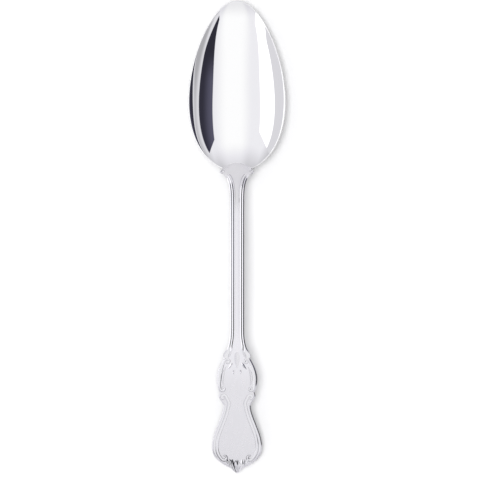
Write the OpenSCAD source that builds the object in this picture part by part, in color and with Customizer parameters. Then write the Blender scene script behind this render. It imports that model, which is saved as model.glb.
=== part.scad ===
// Dinner spoon: an egg shaped bowl, a reeded stem and a scrolled handle end.
// It is built up the way a silversmith builds one. The bowl is dished from sheet and brazed to
// the stem, a drop laps under that joint, and every raised moulding is a piece of its own,
// seated on the face of the stem or of the end plate. +Y runs to the bowl's tip, +Z is up.

/* [Bowl] */
// Length of the egg outline, from the tip to the neck
bowl_length = 74; // [66:1:82]
// Greatest width of the bowl
bowl_width = 42.2; // [37:0.2:48]
// Depth of the hollow below its rim
bowl_depth = 9.2; // [7:0.1:11]
// Share by which the outline narrows towards the tip
bowl_taper = 0.2; // [0.08:0.01:0.28]
// Metal under the deepest point of the hollow
bowl_wall = 1.5; // [1:0.1:2.2]
// Metal at the rim
rim_thickness = 1.2; // [0.8:0.1:1.6]
// Width of the rounding on the rim's edge
rim_round = 0.35; // [0.2:0.05:0.6]
// Width of the lip on the left, where the wall flares out to the rim, halfway along the bowl
left_lip_width = 2.8; // [1.2:0.1:3.4]
// Width of the lip on the right, which wear has left narrower
right_lip_width = 1.5; // [1:0.1:3]
// How much flatter than the wall the lip is at the rim, as a slope
lip_flare = 0.57; // [0.2:0.01:0.7]
// Height of the rim at the neck above the rim at the tip
rim_rise = 4.4; // [2:0.2:6]
// Depth of the worn flat that the bowl rests on
rest_flat_depth = 0.1; // [0.05:0.01:0.2]

/* [Stem] */
// Length of the stem, from the neck to the end plate
stem_length = 81; // [70:1:95]
// Width of the plain stem
stem_width = 6.1; // [5.4:0.1:7]
// Thickness of the stem on its axis
stem_thickness = 3; // [2.4:0.1:3.8]
// Thickness of the handle along its edges
edge_thickness = 1.3; // [1:0.1:1.8]
// Height of the stem's highest point above the table
crown_height = 19.5; // [16:0.5:24]
// Distance from the neck to the highest point
crown_setback = 38; // [30:1:46]
// How late the handle falls from its highest point to its end: 1 is straight, more is later
fall_power = 2; // [1.6:0.1:2.4]
// How far the stem's tongue reaches into the bowl on the axis
tongue_reach = 3.6; // [2.6:0.1:4.6]
// How far the tongue reaches into the bowl at its corners
tongue_corner = 1.3; // [0.8:0.1:1.8]
// Length over which the neck flares to the bowl
neck_flare_length = 17; // [13:0.5:22]
// Distance from the neck back to the middle of the neck's curled ears
ear_setback = 0.3; // [0.1:0.1:1]
// Distance of an ear's middle from the axis
ear_offset = 6.3; // [5.8:0.1:7]
// Radius of an ear
ear_radius = 1.2; // [1:0.05:1.4]
// Length over which the stem flares to its shoulders
shoulder_flare_length = 14.3; // [11:0.5:18]
// Distance from the shoulders' leaves back to the middle of the flare
shoulder_leaf_length = 4; // [3:0.1:5]
// Width at the middle of the shoulders' flare
shoulder_neck_width = 8.8; // [7.8:0.1:9.8]
// Width over the shoulders
shoulder_width = 11.9; // [11:0.1:13]
// Distance from the widest place of the shoulders to the end plate
shoulder_setback = 1.1; // [0.8:0.1:1.6]
// Length of the drop under the joint
drop_length = 22; // [16:1:28]
// Width of the drop at the neck
drop_width = 7; // [5:0.2:9]
// How far the drop reaches back under the stem
drop_back_reach = 5.5; // [4:0.5:8]
// Thickness of the drop
drop_thickness = 1; // [0.6:0.1:1.5]

/* [Handle end] */
// Length of the upper part, from the stem to the notch
upper_length = 14.6; // [13:0.2:18]
// Distance from the stem to the widest place of the upper part
upper_bulge = 9.1; // [7.5:0.1:10]
// Length of the lower part, from the notch to its widest place
lower_length = 23.7; // [20:0.1:28]
// Distance from the notch to the waist
waist_setback = 6.1; // [5.2:0.1:7.5]
// Distance from the notch to the knobs below it
knob_setback = 1.5; // [1.2:0.1:1.8]
// Length of the pointed tip, from the widest place to the end
tip_length = 11.7; // [10:0.1:14]
// Length of the bud at the very end
bud_length = 2.1; // [1.6:0.1:2.8]
// Width of the end plate where it leaves the stem
joint_width = 11.4; // [10.6:0.1:12]
// Greatest width of the upper part
upper_width = 17.5; // [16:0.1:20]
// Width at the notch between the two parts
notch_width = 15; // [14.2:0.1:15.6]
// Width over the knobs below the notch
knob_width = 15.8; // [15:0.1:17]
// Width of the waist
waist_width = 11.7; // [10.8:0.1:13]
// Greatest width of the lower part
lower_width = 21.6; // [19.6:0.2:25]
// Width of the bud
bud_width = 5; // [4:0.1:6]
// Thickness of the end plate on its axis
plate_thickness = 2.2; // [1.8:0.1:2.8]
// Rise of the handle's face from its edges to its axis
face_crown = 0.2; // [0.1:0.05:0.4]

/* [Mouldings] */
// Width of the thread that edges the handle
outer_thread_width = 0.85; // [0.6:0.05:0.95]
// Width of the thread beside it
inner_thread_width = 0.85; // [0.7:0.05:1]
// Height of the threads
thread_height = 0.25; // [0.15:0.05:0.4]
// How much the outer thread widens into the leaf on the shoulder
shoulder_leaf_width = 1.3; // [0.8:0.1:1.6]
// Width of the filed edge that the bands on the end plate leave free
edge_margin = 0.35; // [0.2:0.05:0.5]
// Greatest width of the broad bands on the end plate's edges
band_width = 1.6; // [1.3:0.05:1.9]
// Width of the band along the lower part
border_width = 1.1; // [0.9:0.05:1.3]
// Width of the beads beside the bands
bead_width = 1.3; // [1:0.05:1.5]
// Height of the bands and of the beads beside them
scroll_height = 0.4; // [0.3:0.05:0.7]
// Radius of the curls at the scrolls' ends
curl_radius = 1.2; // [1:0.05:1.35]
// Length of the leaves beside the tip's shell
leaf_length = 2.6; // [2.2:0.1:2.8]
// Width of those leaves, as a share of the step from one to the next
leaf_share = 0.75; // [0.6:0.05:0.8]
// Height of those leaves and of the shell
leaf_height = 0.5; // [0.35:0.05:0.8]
// Number of those leaves on each side
leaf_count = 2; // [2:1:3]
// Length of the hanging tongue below the stem
spray_length = 4.2; // [3.2:0.1:5]
// Width of the hanging tongue
spray_width = 2.4; // [1.6:0.1:3]
// Height of the spray
spray_height = 0.3; // [0.2:0.05:0.5]

/* [Hidden] */
bright = [0.93, 0.93, 0.95];
satin = [0.86, 0.86, 0.89];
raised = [0.9, 0.9, 0.92];

// Stations along the spoon, from the tip of the bowl to the end of the handle
overall_length = bowl_length + stem_length + upper_length + lower_length + tip_length;
tip_y = overall_length / 2;
neck_y = tip_y - bowl_length;
front_y = neck_y + tongue_reach;
crown_y = neck_y - crown_setback;
joint_y = neck_y - stem_length;
notch_y = joint_y - upper_length;
widest_y = notch_y - lower_length;
end_y = widest_y - tip_length;
bud_y = end_y + bud_length;

// Plain helpers
function clamp(a, low, high) = min(max(a, low), high);
function mix(a, b, u) = a + (b - a) * u;
function smooth(u) = let (c = clamp(u, 0, 1)) c * c * (3 - 2 * c);
function heading(a) = [cos(a), sin(a)];

// The bowl's egg outline, and how deep its hollow is over a point, as a share: 1 at the deepest
// place and 0 at the rim. Its sections are round in the middle and grow squarer towards the tip.
half_bowl = bowl_length / 2;
bowl_mid_y = neck_y + half_bowl;
deep_shift = 0.115;
middle_roundness = 0.8;
tip_roundness = 0.17;
square_from = -0.1;
peak_share = (1 - sqrt(1 + 8 * pow(bowl_taper, 2))) / (4 * bowl_taper);
egg_scale = bowl_width / 2 / ((1 - bowl_taper * peak_share) * sqrt(1 - pow(peak_share, 2)));
function along_bowl(y) = clamp((y - bowl_mid_y) / half_bowl, -0.9999, 0.9999);
function egg_half(y) = let (t = along_bowl(y)) egg_scale * (1 - bowl_taper * t) * sqrt(1 - t * t);
function roundness(t) =
    let (u = clamp((t - square_from) / (1 - square_from), 0, 1)) mix(middle_roundness, tip_roundness, u * u);
function hollow(x, y) =
    let (t = along_bowl(y), v = t + deep_shift * (1 - t * t), s = x / egg_half(y), r = roundness(t))
    (1 - v * v) * (1 - r * s * s - (1 - r) * pow(s, 4));
function tilt_z(y) = -rim_rise / 2 * (y - bowl_mid_y) / half_bowl;
belly = bowl_depth + bowl_wall - rim_thickness;
lowest = min([for (i = [-50:50])
    let (y = bowl_mid_y + half_bowl * i / 100) tilt_z(y) - rim_thickness - belly * hollow(0, y)]);
rim_mid_z = -lowest - rest_flat_depth;
function rim_z(y) = rim_mid_z + tilt_z(y);
lip_least = 0.2;
function lip_share(y) = max(lip_least, pow(1 - pow(along_bowl(y), 2), 2));
function lip_drop(x, y) =
    let (w = (x < 0 ? left_lip_width : right_lip_width) * lip_share(y),
         u = clamp((egg_half(y) - abs(x)) / w, 0, 1))
    lip_flare * w / 2 * pow(1 - u, 2);
function inner_z(x, y) = rim_z(y) - bowl_depth * hollow(x, y) - lip_drop(x, y);
function outer_z(x, y) = rim_z(y) - rim_thickness - belly * hollow(x, y) - lip_drop(x, y);

// The curved joint line between the bowl and the tongue of the stem
tongue_half = egg_half(neck_y + tongue_corner);
tongue_bow = tongue_reach - tongue_corner;
function joint_line_y(s) = front_y - tongue_bow * s * s;

// Half width of the handle at a station. The end plate's outline is a chain of curves through
// knots: station, half width, slope on arriving and slope on leaving.
end_half = 0.3;
outline = [
    [joint_y + shoulder_flare_length, stem_width / 2, 0, 0],
    [joint_y + shoulder_leaf_length, shoulder_neck_width / 2, 0.42, 0.42],
    [joint_y + shoulder_setback, shoulder_width / 2, 0, 0],
    [joint_y, joint_width / 2, -0.4, 0.6],
    [joint_y - upper_bulge, upper_width / 2, 0, 0],
    [notch_y, notch_width / 2, -0.45, 0.35],
    [notch_y - knob_setback, knob_width / 2, 0, 0],
    [notch_y - waist_setback, waist_width / 2, 0.12, 0.12],
    [widest_y, lower_width / 2, 0, 0],
    [bud_y, bud_width / 2, -2.3, -1],
    [end_y, end_half, -1.8, -1.8]
];
function hermite(a, b, y) =
    let (d = a[0] - b[0], u = (a[0] - y) / d)
    a[1] * (1 + 2 * u) * pow(1 - u, 2) + b[1] * u * u * (3 - 2 * u)
    + d * (a[3] * u * pow(1 - u, 2) - b[2] * u * u * (1 - u));
function plate_half(y, i = 0) =
    i == len(outline) - 2 || y >= outline[i + 1][0] ? hermite(outline[i], outline[i + 1], y)
    : plate_half(y, i + 1);
neck_flare_power = 4.5;
function neck_half(st) =
    let (u = clamp((st - neck_y + neck_flare_length) / neck_flare_length, 0, 1))
    mix(stem_width / 2, tongue_half, pow(u, neck_flare_power));
function plain_half(st) = st > outline[0][0] ? neck_half(st) : plate_half(max(st, end_y));
ear_span = 1.3 * ear_radius;
function handle_half(st) =
    let (d = clamp((st - ear_station) / ear_span, -1, 1), plain = plain_half(st))
    mix(plain, max(plain, ear_offset + ear_radius), 1 - d * d);

// Side profile of the handle: the face rises from the bowl to the crown and runs down to the end
neck_z = inner_z(0, front_y);
function spine(y) =
    y > crown_y ? mix(crown_height, neck_z, pow((y - crown_y) / (front_y - crown_y), 2))
    : mix(crown_height, plate_thickness, pow((crown_y - y) / (crown_y - end_y), fall_power));
function thickness(y) = mix(stem_thickness, plate_thickness, smooth((crown_y - y) / (crown_y - notch_y)));

// Near the bowl the handle's sections follow the joint line and the bowl's own hollow
neck_blend_length = 6.5;
function blend(st) = 1 - smooth((front_y - st) / neck_blend_length);
function face_trough(s) =
    let (y = joint_line_y(s)) inner_z(s * tongue_half, y) - spine(y);
function back_trough(s) =
    let (y = joint_line_y(s)) outer_z(s * tongue_half, y) - spine(y);
function section_y(s, st) = st - tongue_bow * s * s * blend(st);
function edge_station(y, tries = 6) =
    tries == 0 ? y : y + tongue_bow * blend(edge_station(y, tries - 1));
ear_station = edge_station(neck_y - ear_setback);
function station(x, y, tries = 4) =
    tries == 0 ? y
    : let (st = station(x, y, tries - 1), s = clamp(x / handle_half(st), -1, 1))
      y + tongue_bow * s * s * blend(st);
function section_face_z(s, st) =
    spine(section_y(s, st)) + mix(-face_crown * s * s, face_trough(s), blend(st));
function section_back_z(s, st) =
    let (body = edge_thickness + (thickness(st) - edge_thickness) * sqrt(1 - s * s))
    spine(section_y(s, st)) + mix(-face_crown * s * s - body, back_trough(s), blend(st));
function face_z(x, y) =
    let (st = station(x, y), s = clamp(x / handle_half(st), -1, 1)) section_face_z(s, st);
function back_z(x, y) =
    let (st = station(x, y), s = clamp(x / handle_half(st), -1, 1)) section_back_z(s, st);

// Faces of a solid made of closed rings of points, one after another, with plain end caps
function ring_walls(rings, n) = [
    for (k = [0:rings - 2], i = [0:n - 1])
        let (a = k * n + i, b = k * n + (i + 1) % n)
        each [[a, b, a + n], [b, b + n, a + n]]
];

// A strip solid: a face and a back over the same plan points, joined along the edges and ends
module strip_solid(face, back) {
    rows = len(face);
    n = len(face[0]);
    rings = [for (k = [0:rows - 1]) concat(face[k], [for (i = [n - 1:-1:0]) back[k][i]])];
    last = (rows - 1) * 2 * n;
    caps = [for (i = [0:n - 2])
        let (j = 2 * n - 1 - i)
        each [[i, j, i + 1], [i + 1, j, j - 1], [last + i, last + i + 1, last + j],
              [last + i + 1, last + j - 1, last + j]]];
    polyhedron([for (r = rings) each r], concat(ring_walls(rows, 2 * n), caps), convexity = 6);
}

// A bowl, built as rings round its deepest point: the hollow, the rounded rim and the outside
egg_points = 60;
across_steps = 12;
across = [for (i = [0:across_steps]) sin(-90 + 180 * i / across_steps)];
bowl_rings = 13;
ring_crowding = 1.5;
function ring_share(k) = 1 - pow(1 - k / bowl_rings, ring_crowding);
module bowl() {
    low_angle = asin(along_bowl(neck_y + tongue_corner));
    sweep = 180 - 2 * low_angle;
    egg = [for (i = [0:egg_points])
        let (a = low_angle + sweep * i / egg_points, y = bowl_mid_y + half_bowl * sin(a))
        [sign(cos(a)) * egg_half(y), y]];
    tongue = [for (i = [1:across_steps - 1]) [across[i] * tongue_half, joint_line_y(across[i])]];
    rim = concat(egg, tongue);
    n = len(rim);
    middle = [0, bowl_mid_y - deep_shift * half_bowl];
    function inset(j) = j > 0 && j < egg_points ? 1 - rim_round / norm(rim[j] - middle) : 1;
    function plan(j, r) = mix(middle, rim[j], r);
    function face_point(j, r) = let (p = plan(j, r * inset(j))) [p.x, p.y, inner_z(p.x, p.y)];
    function back_point(j, r) = let (p = plan(j, r * inset(j))) [p.x, p.y, outer_z(p.x, p.y)];
    function edge_point(j) = let (p = rim[j]) [p.x, p.y, (face_point(j, 1).z + back_point(j, 1).z) / 2];
    rings = concat(
        [for (k = [1:bowl_rings]) [for (j = [0:n - 1]) face_point(j, ring_share(k))]],
        [[for (j = [0:n - 1]) edge_point(j)]],
        [for (k = [bowl_rings:-1:1]) [for (j = [0:n - 1]) back_point(j, ring_share(k))]]);
    points = [for (r = rings) each r];
    face_pole = len(points);
    back_pole = face_pole + 1;
    function pole(z) = [middle.x, middle.y, z];
    poles = [pole(inner_z(middle.x, middle.y)), pole(outer_z(middle.x, middle.y))];
    last = (len(rings) - 1) * n;
    caps = [for (j = [0:n - 1])
        each [[face_pole, (j + 1) % n, j], [back_pole, last + j, last + (j + 1) % n]]];
    color(bright) difference() {
        polyhedron(concat(points, poles), concat(ring_walls(len(rings), n), caps), convexity = 6);
        translate([0, bowl_mid_y, -1]) cube([bowl_width, bowl_length, 2], center = true);
    }
}

// The stem, from the tongue in the bowl to the shoulders
neck_steps = 24;
stem_steps = 30;
module stem() {
    blend_end_y = front_y - neck_blend_length;
    stations = concat(
        [for (k = [0:neck_steps - 1]) mix(front_y, blend_end_y, k / neck_steps)],
        [for (k = [0:stem_steps]) mix(blend_end_y, joint_y, k / stem_steps)]);
    color(satin) handle_solid(stations);
}

// The shaped plate at the end of the handle
plate_steps = 52;
module end_plate() {
    color(satin) handle_solid([for (k = [0:plate_steps]) mix(joint_y, end_y, k / plate_steps)]);
}

module handle_solid(stations) {
    face = [for (st = stations) [for (s = across)
        [s * handle_half(st), section_y(s, st), section_face_z(s, st)]]];
    back = [for (st = stations) [for (s = across)
        [s * handle_half(st), section_y(s, st), section_back_z(s, st)]]];
    strip_solid(face, back);
}

// The drop: a tongue shaped pad lapped under the joint, on the backs of the bowl and the stem
drop_steps = 18;
drop_across = 8;
drop_edge = 0.15;
module bowl_drop() {
    start_y = neck_y - drop_back_reach;
    function seat_z(x, y) = y > joint_line_y(x / tongue_half) ? outer_z(x, y) : back_z(x, y);
    face = [for (k = [0:drop_steps]) [for (i = [0:drop_across])
        let (u = k / drop_steps, y = start_y + drop_length * u, s = 2 * i / drop_across - 1,
             x = s * drop_width / 2 * drop_taper(u))
        [x, y, seat_z(x, y)]]];
    back = [for (k = [0:drop_steps]) [for (i = [0:drop_across])
        let (u = k / drop_steps, s = 2 * i / drop_across - 1, p = face[k][i])
        [p.x, p.y, p.z - drop_edge - drop_thickness * drop_body(u) * (1 - s * s)]]];
    color(satin) strip_solid(back, face);
}
function drop_taper(u) = max(0.08, 1 - pow(u, 2.2)) * mix(0.5, 1, smooth(u / 0.3));
function drop_body(u) = smooth(u / 0.3) * (1 - 0.8 * u);

// A moulding: a rounded bead along a path on the handle's face. Each ring of the bead has its
// seat on the face and its back raised over it.
bead_sides = 6;
seat_sink = 0.01;
module moulding(path, widths, heights) {
    n = len(path);
    directions = [for (k = [0:n - 1])
        let (d = path[min(k + 1, n - 1)] - path[max(k - 1, 0)]) d / norm(d)];
    rings = [for (k = [0:n - 1]) concat(
        [for (i = [0:bead_sides])
            let (a = 180 * i / bead_sides, p = path[k] + widths[k] / 2 * cos(a) * side(directions[k]))
            [p.x, p.y, face_z(p.x, p.y) + heights[k] * sin(a)]],
        [[path[k].x, path[k].y, face_z(path[k].x, path[k].y) - seat_sink]])];
    m = bead_sides + 2;
    last = (n - 1) * m;
    caps = [for (i = [1:m - 2]) each [[0, i + 1, i], [last, last + i, last + i + 1]]];
    polyhedron([for (r = rings) each r], concat(ring_walls(n, m), caps), convexity = 8);
}
function side(d) = [d.y, -d.x];

// A curl: a path that winds inwards from a point, to the left where the turn is positive
function curl(p, angle, turn, r0, r1, steps = 12) =
    let (hand = sign(turn), middle = p + r0 * heading(angle + 90 * hand))
    [for (i = [1:steps])
        let (u = i / steps) middle + mix(r0, r1, u) * heading(angle - 90 * hand + turn * u)];
function reversed(list) = [for (i = [len(list) - 1:-1:0]) list[i]];
function path_angle(a, b) = atan2(b.y - a.y, b.x - a.x);
function mirrored(list, hand) = [for (p = list) [hand * p.x, p.y]];
function tapered(n, full, low, ends = 0.2) = [for (k = [0:n - 1])
    let (u = k / (n - 1)) full * mix(low, 1, smooth(min(u, 1 - u) / ends))];

// Threads that edge the stem, from the ears of the neck to the shoulders
thread_steps = 40;
thread_gap = 0.02;
thread_start_y = neck_y - ear_setback - ear_radius;
function edge_half(y) = plain_half(edge_station(y));
module outer_thread(hand) {
    path = [for (k = [0:thread_steps])
        let (y = mix(thread_start_y, joint_y + 0.3, k / thread_steps))
        [hand * (edge_half(y) - outer_thread_width / 2 - shoulder_leaf(y) / 2 - thread_gap), y]];
    color(raised) moulding(path,
        [for (p = path) outer_thread_width + shoulder_leaf(p.y)],
        tapered(len(path), thread_height, 0.4, 0.04));
}
function shoulder_leaf(y) =
    let (run = 1.6 * shoulder_leaf_length, u = (joint_y + run - y) / run)
    shoulder_leaf_width * smooth(u / 0.75) * (1 - 0.6 * smooth((u - 0.85) / 0.15));

module inner_thread(hand) {
    path = [for (k = [0:thread_steps])
        let (y = mix(thread_start_y, joint_y - 0.2, k / thread_steps)) [hand * inner_thread_x(y), y]];
    color(raised) moulding(path, tapered(len(path), inner_thread_width, 0.5, 0.04),
        tapered(len(path), thread_height, 0.4, 0.04));
}
function inner_thread_x(y) =
    edge_half(max(y, joint_y)) - outer_thread_width - shoulder_leaf(y)
    - inner_thread_width / 2 - 2 * thread_gap;

neck_thread_steps = 18;
module neck_thread(hand) {
    path = [for (k = [0:neck_thread_steps])
        let (y = mix(thread_start_y, neck_y - 0.8 * neck_flare_length, k / neck_thread_steps))
        [hand * (inner_thread_x(y) - inner_thread_width - thread_gap), y]];
    color(raised) moulding(path,
        [for (k = [0:neck_thread_steps]) inner_thread_width * (1 - 0.8 * k / neck_thread_steps)],
        [for (k = [0:neck_thread_steps]) thread_height * (0.9 - 0.6 * k / neck_thread_steps)]);
}

// Curled beads on the ears of the neck, beside the bowl's rim
module neck_scroll(hand) {
    bead = 0.5 * ear_radius;
    wind = ear_radius - bead / 2 - thread_gap;
    start = [ear_offset - wind, neck_y - ear_setback];
    path = mirrored(concat([start], curl(start, 90, -330, wind, 0.4 * wind, 18)), hand);
    last = len(path) - 1;
    color(raised) moulding(path, [for (k = [0:last]) bead * (1 - 0.4 * k / last)],
        tapered(len(path), thread_height, 0.7));
}

// Broad bands along the sides of the upper part, curled inwards at both ends
run_steps = 14;
module upper_scroll(hand) {
    top_y = joint_y - 0.6;
    foot_y = notch_y + 1.2;
    function band(u) = mix(0.6, 1, smooth(min(u, 1 - u) / 0.4)) * band_width;
    run = [for (k = [0:run_steps])
        let (u = k / run_steps, y = mix(top_y, foot_y, u)) [plate_half(y) - band(u) / 2 - edge_margin, y]];
    top = curl(run[0], path_angle(run[1], run[0]), 330, curl_radius, 0.35 * curl_radius);
    foot = curl(run[run_steps], path_angle(run[run_steps - 1], run[run_steps]), -300,
        0.9 * curl_radius, 0.35 * curl_radius);
    path = mirrored(concat(reversed(top), run, foot), hand);
    widths = concat([for (p = top) band(0)], [for (k = [0:run_steps]) band(k / run_steps)],
        [for (p = foot) band(1)]);
    color(raised) moulding(path, [for (k = [0:len(path) - 1]) min(widths[k], curl_width(k, len(path)))],
        tapered(len(path), scroll_height, 0.7));
}
function curl_width(k, n) = 0.45 * curl_radius + 0.1 * min(k, n - 1 - k);

// Fine beads inside those bands
module upper_bead(hand) {
    path = [for (k = [0:run_steps])
        let (u = k / run_steps, y = mix(joint_y - 3.4, notch_y + 3, u))
        [hand * (plate_half(y) - edge_margin - band_width - 0.4 * bead_width
                 - 0.3 * (1 - sin(180 * u))), y]];
    color(raised) moulding(path, tapered(len(path), 0.8 * bead_width, 0.3, 0.4),
        tapered(len(path), 0.8 * scroll_height, 0.4, 0.4));
}

// Bands along the edges of the lower part
border_steps = 22;
module border_band(hand) {
    path = [for (k = [0:border_steps])
        let (y = mix(notch_y - 0.75 * waist_setback, widest_y - 0.42 * tip_length, k / border_steps))
        [hand * (plate_half(y) - border_width / 2 - edge_margin), y]];
    color(raised) moulding(path, tapered(len(path), border_width, 0.4, 0.12),
        tapered(len(path), 0.8 * scroll_height, 0.4, 0.12));
}

// Long beads inside those bands, curled out over the knobs and in at the tip
scroll_foot_y = widest_y - 0.49 * tip_length;
scroll_inset = edge_margin + border_width + bead_width / 2 + thread_gap;
knob_lean = 1.05;
function scroll_point(y) =
    let (lean = knob_lean * smooth((y - notch_y + 0.9 * waist_setback) / (0.6 * waist_setback)))
    [plate_half(y) - scroll_inset - lean, y];
foot_radius = 1.1 * curl_radius;
foot_angle = path_angle(scroll_point(scroll_foot_y + thread_gap), scroll_point(scroll_foot_y));
foot_centre = scroll_point(scroll_foot_y) + foot_radius * heading(foot_angle - 90);
module lower_scroll(hand) {
    top_y = notch_y - knob_setback - 0.4;
    run = [for (k = [0:border_steps]) scroll_point(mix(top_y, scroll_foot_y, k / border_steps))];
    top = curl(run[0], path_angle(run[1], run[0]), -300, curl_radius, 0.35 * curl_radius);
    foot = curl(run[border_steps], foot_angle, -260, foot_radius, 0.5 * foot_radius);
    path = mirrored(concat(reversed(top), run, foot), hand);
    color(raised) moulding(path, [for (k = [0:len(path) - 1]) min(bead_width, curl_width(k, len(path)))],
        tapered(len(path), scroll_height, 0.7));
}

// A spray that hangs from the stem over the upper part: a pointed tongue, a leaf that leans out
// to each side and a small drop under each leaf
module leaf_spray() {
    foot_y = joint_y - spray_length;
    lean = 1.7 * spray_width;
    color(raised) {
        leaf([[0, joint_y + 3], [0, joint_y + 1.6], [0, foot_y + 2.6], [0, foot_y]],
            spray_width, spray_height);
        for (hand = [-1, 1]) {
            leaf(mirrored([[0.3 * lean, foot_y + 2.6], [0.4 * lean, foot_y + 1.2],
                           [0.7 * lean, foot_y + 0.8], [lean, foot_y - 0.8]], hand),
                0.4 * spray_width, spray_height);
            leaf(mirrored([[0.36 * lean, foot_y - 0.6], [0.39 * lean, foot_y - 1.2],
                           [0.39 * lean, foot_y - 1.8], [0.34 * lean, foot_y - 2.6]], hand),
                0.3 * spray_width, spray_height);
        }
    }
}

// One leaf: a moulding on a smooth path that swells in the middle and ends in points
leaf_steps = 14;
module leaf(knots, width, height) {
    path = [for (k = [0:leaf_steps]) curve_point(knots, k / leaf_steps)];
    swell = [for (k = [0:leaf_steps]) max(0.18, pow(sin(180 * pow(k / leaf_steps, 0.8)), 0.7))];
    moulding(path, width * swell, height * swell);
}
function curve_point(p, u) =
    pow(1 - u, 3) * p[0] + 3 * u * pow(1 - u, 2) * p[1] + 3 * u * u * (1 - u) * p[2] + pow(u, 3) * p[3];

// The shell at the tip: a drop shaped boss between two long bowed leaves, under three flutes
module tip_shell() {
    boss_y = bud_y + 2;
    bow = bud_width / 2;
    color(raised) {
        leaf([[0, boss_y], [0, boss_y - 1.2], [0, end_y + 1.6], [0, end_y + 0.4]],
            0.56 * bud_width, leaf_height);
        for (hand = [-1, 1])
            leaf(mirrored([[0.4 * bow, bud_y + 4], [0.84 * bow, bud_y + 2.6],
                           [0.98 * bow, bud_y + 0.6], [0.46 * bow, end_y + 0.7]], hand),
                0.8, 0.8 * leaf_height);
        for (i = [-1:1])
            leaf([[0.35 * i, boss_y + 0.2], [0.45 * i, boss_y + 0.7], [0.55 * i, boss_y + 1.2],
                  [0.7 * i, boss_y + 2 - 0.3 * abs(i)]], 0.45, 0.7 * leaf_height);
    }
}

// Leaves that stand side by side along the edges of the tip, from the shell up to the scrolls'
// feet, each bowed towards the axis
leaf_rise = 0.8 * leaf_length;
leaf_inset = 0.3;
module tip_leaves(hand) {
    low_y = bud_y + 0.8;
    low = [plate_half(low_y) - leaf_inset, low_y];
    high = foot_centre - [0.53 * foot_radius, leaf_rise + 0.6 * foot_radius];
    width = leaf_share * norm(high - low) / (leaf_count - 1);
    color(raised) for (i = [0:leaf_count - 1]) {
        p = mix(low, high, i / (leaf_count - 1));
        leaf(mirrored([p, p + [-0.45 * leaf_length, 0.35 * leaf_rise],
                       p + [-0.7 * leaf_length, 0.85 * leaf_rise],
                       p + [-0.45 * leaf_length, leaf_rise]], hand), width, leaf_height);
    }
}

bowl();
bowl_drop();
stem();
end_plate();
outer_thread(-1);  // left_outer_thread
outer_thread(1);  // right_outer_thread
inner_thread(-1);  // left_inner_thread
inner_thread(1);  // right_inner_thread
neck_thread(-1);  // left_neck_thread
neck_thread(1);  // right_neck_thread
neck_scroll(-1);  // left_neck_scroll
neck_scroll(1);  // right_neck_scroll
upper_scroll(-1);  // left_upper_scroll
upper_scroll(1);  // right_upper_scroll
lower_scroll(-1);  // left_lower_scroll
lower_scroll(1);  // right_lower_scroll
upper_bead(-1);  // left_upper_bead
upper_bead(1);  // right_upper_bead
border_band(-1);  // left_border_band
border_band(1);  // right_border_band
leaf_spray();
tip_shell();
tip_leaves(-1);  // left_tip_leaves
tip_leaves(1);  // right_tip_leaves
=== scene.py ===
from math import acos, asin, atan2, copysign, cos, hypot, pi, radians, sin, sqrt, tau

import bmesh
import bpy
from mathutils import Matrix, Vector


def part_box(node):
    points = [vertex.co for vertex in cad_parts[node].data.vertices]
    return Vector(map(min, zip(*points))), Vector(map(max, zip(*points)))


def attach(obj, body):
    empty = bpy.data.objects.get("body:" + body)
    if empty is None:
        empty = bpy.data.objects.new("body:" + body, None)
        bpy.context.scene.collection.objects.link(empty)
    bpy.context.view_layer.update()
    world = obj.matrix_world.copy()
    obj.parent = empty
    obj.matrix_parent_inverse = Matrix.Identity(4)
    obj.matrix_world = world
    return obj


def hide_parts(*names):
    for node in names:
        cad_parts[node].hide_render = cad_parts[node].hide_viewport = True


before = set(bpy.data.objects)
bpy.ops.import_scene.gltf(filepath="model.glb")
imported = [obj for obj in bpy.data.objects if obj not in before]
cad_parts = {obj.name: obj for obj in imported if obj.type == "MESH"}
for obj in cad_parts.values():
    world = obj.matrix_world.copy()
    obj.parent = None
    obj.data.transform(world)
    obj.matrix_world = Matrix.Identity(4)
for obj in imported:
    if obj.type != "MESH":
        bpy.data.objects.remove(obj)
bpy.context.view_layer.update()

# The bowl is one sheet of silver, dished over a stake to an egg shape and polished bright. Wear has
# rounded its rim, its belly has a small flat to stand on, and its neck end is cut to an arc where
# the stem is brazed in.
MM = 0.001
bowl_low, bowl_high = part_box("bowl")
_, stem_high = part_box("stem")
tongue_corner = 1.3 * MM
neck_y = bowl_low.y - tongue_corner
half_bowl = (bowl_high.y - neck_y) / 2
bowl_mid_y = (bowl_high.y + neck_y) / 2
bowl_width = bowl_high.x - bowl_low.x
bowl_depth = 9.2 * MM
bowl_wall = 1.5 * MM
rim_thickness = 1.2 * MM
rim_rise = 4.4 * MM
left_rim_round, rim_round = 0.35 * MM, 0.5 * MM
joint_round = 0.04 * MM
left_lip_width, right_lip_width, lip_flare = 2.8 * MM, 1.5 * MM, 0.57
lip_setback, lip_fade, least_lip = 0.2, 3, 0.26
rest_flat_depth = 0.1 * MM
bowl_taper = 0.2
deep_shift = 0.115
middle_roundness, tip_roundness, square_from = 0.8, 0.17, -0.1
short_of_end = 0.9999


def clamp(value, low=0.0, high=1.0):
    return min(max(value, low), high)


def mix(a, b, share):
    return a + (b - a) * share


def ease(share):
    share = clamp(share)
    return share * share * (3 - 2 * share)


widest_share = (1 - sqrt(1 + 8 * bowl_taper**2)) / (4 * bowl_taper)
egg_scale = bowl_width / 2 / ((1 - bowl_taper * widest_share) * sqrt(1 - widest_share**2))


def along_bowl(y):
    return clamp((y - bowl_mid_y) / half_bowl, -short_of_end, short_of_end)


def egg_half(y):
    t = along_bowl(y)
    return egg_scale * (1 - bowl_taper * t) * sqrt(1 - t * t)


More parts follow.
